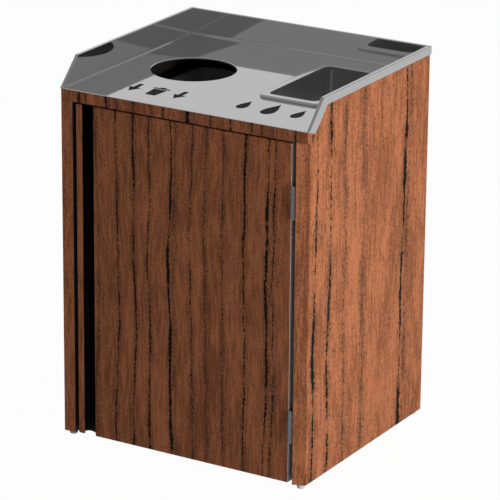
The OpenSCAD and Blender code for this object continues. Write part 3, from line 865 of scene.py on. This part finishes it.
def screw_tree():
    tree = bpy.data.node_groups.new("countersunk_screws", "GeometryNodeTree")
    face = tree.interface
    face.new_socket("Geometry", in_out="INPUT", socket_type="NodeSocketGeometry")
    for name, value in SCREW_SIZES.items():
        socket = face.new_socket(name, in_out="INPUT", socket_type="NodeSocketFloat")
        socket.default_value = value
    face.new_socket("Finish", in_out="INPUT", socket_type="NodeSocketMaterial")
    face.new_socket("Geometry", in_out="OUTPUT", socket_type="NodeSocketGeometry")

    def feed(socket, value):
        if isinstance(value, bpy.types.NodeSocket):
            tree.links.new(value, socket)
        else:
            socket.default_value = value

    def add(kind, settings=None, **links):
        node = tree.nodes.new(kind)
        for key, value in (settings or {}).items():
            setattr(node, key, value)
        for key, value in links.items():
            feed(node.inputs[key.replace("_", " ")], value)
        return node

    def maths(operation, first, second):
        node = add("ShaderNodeMath", {"operation": operation})
        feed(node.inputs[0], first)
        feed(node.inputs[1], second)
        return node.outputs[0]

    def vector(x=0.0, y=0.0, z=0.0):
        return add("ShaderNodeCombineXYZ", X=x, Y=y, Z=z).outputs[0]

    given = add("NodeGroupInput").outputs
    head_r = maths("MULTIPLY", given["Head diameter"], 0.5)
    shank_r = maths("MULTIPLY", given["Shank diameter"], 0.5)
    head_h = given["Head height"]
    shank_l = maths("SUBTRACT", given["Length"], head_h)
    head = add("GeometryNodeMeshCone", Vertices=32, Radius_Top=head_r, Radius_Bottom=shank_r, Depth=head_h)
    head_place = vector(z=maths("MULTIPLY", head_h, -1.0))
    head = add("GeometryNodeTransform", Geometry=head.outputs["Mesh"], Translation=head_place)
    shank = add("GeometryNodeMeshCylinder", Vertices=16, Radius=shank_r, Depth=shank_l)
    middle = maths("MULTIPLY", maths("ADD", shank_l, maths("MULTIPLY", head_h, 2.0)), -0.5)
    shank = add("GeometryNodeTransform", Geometry=shank.outputs["Mesh"], Translation=vector(z=middle))
    long_side = given["Recess length"]
    thin_side = given["Recess width"]
    deep_side = maths("MULTIPLY", given["Recess depth"], 2.0)
    bar = add("GeometryNodeMeshCube", Size=vector(long_side, thin_side, deep_side))
    cross_bar = add("GeometryNodeMeshCube", Size=vector(thin_side, long_side, deep_side))
    cut = add("GeometryNodeMeshBoolean", {"operation": "DIFFERENCE"})
    tree.links.new(head.outputs["Geometry"], cut.inputs["Mesh 1"])
    tree.links.new(bar.outputs["Mesh"], cut.inputs["Mesh 2"])
    tree.links.new(cross_bar.outputs["Mesh"], cut.inputs["Mesh 2"])
    whole = add("GeometryNodeJoinGeometry")
    tree.links.new(cut.outputs["Mesh"], whole.inputs[0])
    tree.links.new(shank.outputs["Geometry"], whole.inputs[0])
    aim = add("GeometryNodeInputNamedAttribute", {"data_type": "FLOAT_VECTOR"}, Name="aim")
    turn = add("FunctionNodeAlignRotationToVector", {"axis": "Z"}, Vector=aim.outputs["Attribute"])
    placed = add("GeometryNodeInstanceOnPoints", Points=given["Geometry"],
                 Instance=whole.outputs["Geometry"], Rotation=turn.outputs["Rotation"])
    real = add("GeometryNodeRealizeInstances", Geometry=placed.outputs["Instances"])
    dressed = add("GeometryNodeSetMaterial", Geometry=real.outputs["Geometry"], Material=given["Finish"])
    result = add("NodeGroupOutput")
    tree.links.new(dressed.outputs["Geometry"], result.inputs[0])
    return tree


screws_tree = screw_tree()
print("screw tree:", len(screws_tree.nodes), "nodes")


# %% Set the screws on their points
def separate_solids(node):
    """The points of each solid in a node, one list for each."""
    bm = bmesh.new()
    bm.from_mesh(nodes[node].data)
    bmesh.ops.remove_doubles(bm, verts=bm.verts, dist=WELD)
    seen, solids = set(), []
    for start in bm.verts:
        if start in seen:
            continue
        solid, queue = [], [start]
        seen.add(start)
        while queue:
            vert = queue.pop()
            solid.append(vert.co.copy())
            for edge in vert.link_edges:
                other = edge.other_vert(vert)
                if other not in seen:
                    seen.add(other)
                    queue.append(other)
        solids.append(solid)
    bm.free()
    return solids


def screw_heads(node, aim):
    """For each of the frame's screws: the middle of its head, its direction and its length."""
    heads = []
    for solid in separate_solids(node):
        low = Vector(min(p[i] for p in solid) for i in range(3))
        high = Vector(max(p[i] for p in solid) for i in range(3))
        middle = (low + high) / 2
        direction = aim(high - low, middle)
        reach = max(p.dot(direction) for p in solid) - middle.dot(direction)
        heads.append((middle + direction * reach, direction, reach * 2))
    return heads


def set_screws(name, node, body, aim):
    heads = screw_heads(node, aim)
    mesh = bpy.data.meshes.new(name)
    mesh.from_pydata([p for p, _, _ in heads], [], [])
    aims = mesh.attributes.new("aim", "FLOAT_VECTOR", "POINT")
    for i, (_, direction, _) in enumerate(heads):
        aims.data[i].vector = direction
    carrier = add_object(name + "_points", mesh)
    repeater = carrier.modifiers.new("screws", "NODES")
    repeater.node_group = screws_tree
    given = {"Length": heads[0][2], "Finish": screw_steel}
    for item in screws_tree.interface.items_tree:
        if item.in_out == "INPUT" and item.name in given:
            repeater[item.identifier] = given[item.name]
    seen = carrier.evaluated_get(bpy.context.evaluated_depsgraph_get())
    made = bpy.data.meshes.new_from_object(seen)
    bpy.data.objects.remove(carrier)
    finish_piece(add_object(name, made), body, "screw_steel", node)
    print(name, len(heads), "screws,", len(made.polygons), "faces")


def towards_middle(size, middle):
    """A screw lies along its longest side, with its head towards the middle of the cabinet."""
    axis = max(range(3), key=lambda i: size[i])
    direction = Vector((0.0, 0.0, 0.0))
    direction[axis] = -1.0 if middle[axis] > 0 else 1.0
    return direction


set_screws("batten_screw_set", "batten_screws", "cabinet", towards_middle)
set_screws("panel_leaf_screw_set", "hinge_panel_screws", "cabinet", lambda size, middle: Vector((-1, 0, 0)))
set_screws("door_leaf_screw_set", "hinge_door_screws", "door", lambda size, middle: Vector((1, 0, 0)))

# %% [markdown]
# ## Marks on the deck
# Plain printed marks tell the openings apart: a bin between two arrows in front of the round hole, and drops
# in front of the pan. They are a thin film of black enamel, cut as flat outlines and given a little
# thickness. They are stretched front to back, because people read them at a low angle.

# %% Flat outlines and their film
FILM_LOW, FILM_HIGH = 0.00002, 0.0002
STRETCH = 1.45


def film(bm, outline, centre, scale):
    low = [bm.verts.new((centre[0] + u * scale, centre[1] + v * scale * STRETCH, DECK_Z + FILM_LOW))
           for u, v in outline]
    high = [bm.verts.new((v.co.x, v.co.y, DECK_Z + FILM_HIGH)) for v in low]
    bm.faces.new(high)
    bm.faces.new(list(reversed(low)))
    for i in range(len(low)):
        j = (i + 1) % len(low)
        bm.faces.new((low[i], low[j], high[j], high[i]))


def bin_outline():
    return [(-0.012, 0.006), (-0.009, -0.016), (0.009, -0.016), (0.012, 0.006)]


def lid_outline():
    return [(-0.015, 0.008), (0.015, 0.008), (0.015, 0.011), (0.005, 0.011), (0.005, 0.014),
            (-0.005, 0.014), (-0.005, 0.011), (-0.015, 0.011)]


def arrow_outline():
    return [(-0.004, 0.014), (-0.004, 0.0), (-0.011, 0.0), (0.0, -0.014), (0.011, 0.0), (0.004, 0.0),
            (0.004, 0.014)]


def drop_outline():
    round_part = arc((0.0, -0.005), 0.010, 205, 335, 16)
    right = [(0.0080, 0.003), (0.0040, 0.010)]
    left = [(-0.0040, 0.010), (-0.0080, 0.003)]
    return round_part + [(0.0100, -0.005)] + right + [(0.0, 0.018)] + left + [(-0.0100, -0.005)]


# %% Lay out the marks
BIN_MARK = Vector((-0.124, FRONT_Y + 0.094))
BIN_MARK_SCALE = 1.45
ARROW_SIDE = 0.060
DROP_MARK = Vector((pan_mid.x, FRONT_Y + 0.105))
DROP_SIDE = 0.070
SMALL_DROP, LARGE_DROP = 1.3, 1.7


def build_marks():
    bm = bmesh.new()
    for side, outline in ((-ARROW_SIDE, arrow_outline()), (ARROW_SIDE, arrow_outline()),
                          (0.0, bin_outline()), (0.0, lid_outline())):
        film(bm, outline, BIN_MARK + Vector((side, 0.0)), BIN_MARK_SCALE)
    for side, scale in ((-DROP_SIDE, SMALL_DROP), (0.0, LARGE_DROP), (DROP_SIDE, SMALL_DROP)):
        film(bm, drop_outline(), DROP_MARK + Vector((side, 0.0)), scale)
    bmesh.ops.recalc_face_normals(bm, faces=bm.faces)
    return piece_from("deck_marks", bm, [black_enamel], "cabinet", "black_enamel")


marks = build_marks()
print("marks:", len(marks.data.polygons), "faces")

# %% [markdown]
# ## Floor, light and room
# A catalogue picture has a white room. The floor is pale and takes the cabinet's shadow, and the camera sees
# floor and room white, while the light that they throw on the cabinet stays modest. What the steel mirrors
# is a room in a few greys, brightest behind the cabinet on its left, because a polished tray in an evenly
# white room would have no shape. The key light is a large soft one on the right, so the right side is more
# than twice as bright as the door.

# %% The room
SKY_LIGHT = 0.24
BACK_LEFT, FRONT_LEFT = Vector((-0.5, 0.866, 0.0)), Vector((-0.866, -0.5, 0.0))
BACKDROP_GLOW = 0.59
LEFT_GLOW, RIGHT_GLOW, NEAR_GLOW = 0.25, 0.205, 0.155
CEILING_GLOW = 0.24
FLOOR_GLOW = 0.54
FLOOR_HALF = 12.0
FLOOR_WHITE = 0.97


def build_room():
    world = bpy.data.worlds.new("studio")
    bpy.context.scene.world = world
    world.use_nodes = True
    room = Finish("studio", world.node_tree)
    way = room.add("ShaderNodeTexCoord").out("Generated")

    def facing(direction):
        return room.add("ShaderNodeVectorMath", {"operation": "DOT_PRODUCT"},
                        {0: way, 1: direction}).out("Value")

    walls = room.step(facing(FRONT_LEFT), 0.1, 0.7, 0.0, LEFT_GLOW - NEAR_GLOW) + NEAR_GLOW
    walls = walls + room.step(facing(-FRONT_LEFT), 0.1, 0.7, 0.0, RIGHT_GLOW - NEAR_GLOW)
    walls = walls + room.step(facing(BACK_LEFT), 0.50, 0.85) * (BACKDROP_GLOW - walls)
    mirrored = walls + room.step(facing(Vector((0, 0, 1))), 0.50, 0.85) * (CEILING_GLOW - walls)
    rays = room.add("ShaderNodeLightPath")
    in_mirror = rays.out("Is Glossy Ray") * (mirrored - SKY_LIGHT)
    to_camera = (rays.out("Is Camera Ray") + rays.out("Is Transmission Ray")) * (1.0 - SKY_LIGHT)
    glow = room.add("ShaderNodeBackground", {}, {"Color": (1.0, 1.0, 1.0),
                                                 "Strength": in_mirror + to_camera + SKY_LIGHT})
    room.add("ShaderNodeOutputWorld", {}, {"Surface": glow.out("Background")})


def build_floor():
    bm = bmesh.new()
    bm.faces.new([bm.verts.new((x * FLOOR_HALF, y * FLOOR_HALF, 0.0))
                  for x, y in ((-1, -1), (1, -1), (1, 1), (-1, 1))])
    floor = add_object("floor", mesh_from("floor", bm))
    pale = Finish("pale_floor")
    mottle = pale.noise(pale.place(), 0.8, 2.0)
    tint = pale.mix(mottle, (0.78, 0.78, 0.78), (0.82, 0.82, 0.82))
    matte = pale.add("ShaderNodeBsdfDiffuse", {}, {"Color": tint})
    rays = pale.add("ShaderNodeLightPath")
    white = pale.add("ShaderNodeEmission", {}, {"Color": (1.0, 1.0, 1.0), "Strength": 1.0})
    grey = pale.add("ShaderNodeEmission", {}, {"Color": (1.0, 1.0, 1.0), "Strength": FLOOR_GLOW})
    straight = (rays.out("Is Camera Ray") + rays.out("Is Transmission Ray")) * FLOOR_WHITE
    seen = pale.add("ShaderNodeMixShader", {}, {0: straight, 1: matte.out(0), 2: white.out(0)})
    both = pale.add("ShaderNodeMixShader", {}, {0: rays.out("Is Glossy Ray"), 1: seen.out(0), 2: grey.out(0)})
    pale.add("ShaderNodeOutputMaterial", {}, {"Surface": both.out(0)})
    floor.data.materials.append(pale.material)


build_room()
build_floor()
print("room ready")


# %% The key light
def lamp(name, place, target, size, power):
    data = bpy.data.lights.new(name, "AREA")
    data.shape = "DISK"
    data.size = size
    data.energy = power
    obj = add_object(name, data)
    obj.location = place
    obj.rotation_euler = (Vector(target) - Vector(place)).to_track_quat("-Z", "Y").to_euler()
    obj.visible_glossy = False


lamp("key", place=(3.4, -0.6, 1.0), target=(0.1, 0.0, 0.5), size=1.4, power=80.0)
print("light ready")

# %% [markdown]
# ## Camera
# The viewpoint is the one worked out from the photograph's straight edges: about 31 degrees to the right of
# the front and 19 degrees above, from far off with a long lens.

# %% The camera
LENS = 232.97
CAMERA_PLACE = Vector((3.6662, -6.1482, 2.9153))
YAW, PITCH, ROLL = (math.radians(a) for a in (30.717, 19.099, 0.497))


def build_camera():
    ahead = Vector((-math.sin(YAW) * math.cos(PITCH), math.cos(YAW) * math.cos(PITCH), -math.sin(PITCH)))
    right = Vector((math.cos(YAW), math.sin(YAW), 0.0))
    up = right.cross(ahead)
    turned_right = right * math.cos(ROLL) + up * math.sin(ROLL)
    turned_up = up * math.cos(ROLL) - right * math.sin(ROLL)
    data = bpy.data.cameras.new("camera")
    data.sensor_width = 36.0
    data.lens = LENS
    data.clip_end = 100.0
    camera = add_object("camera", data)
    turn = Matrix((turned_right, turned_up, -ahead)).transposed().to_4x4()
    camera.matrix_world = Matrix.Translation(CAMERA_PLACE) @ turn
    bpy.context.scene.camera = camera


build_camera()
bpy.context.scene.view_settings.view_transform = "Standard"
print("camera ready")
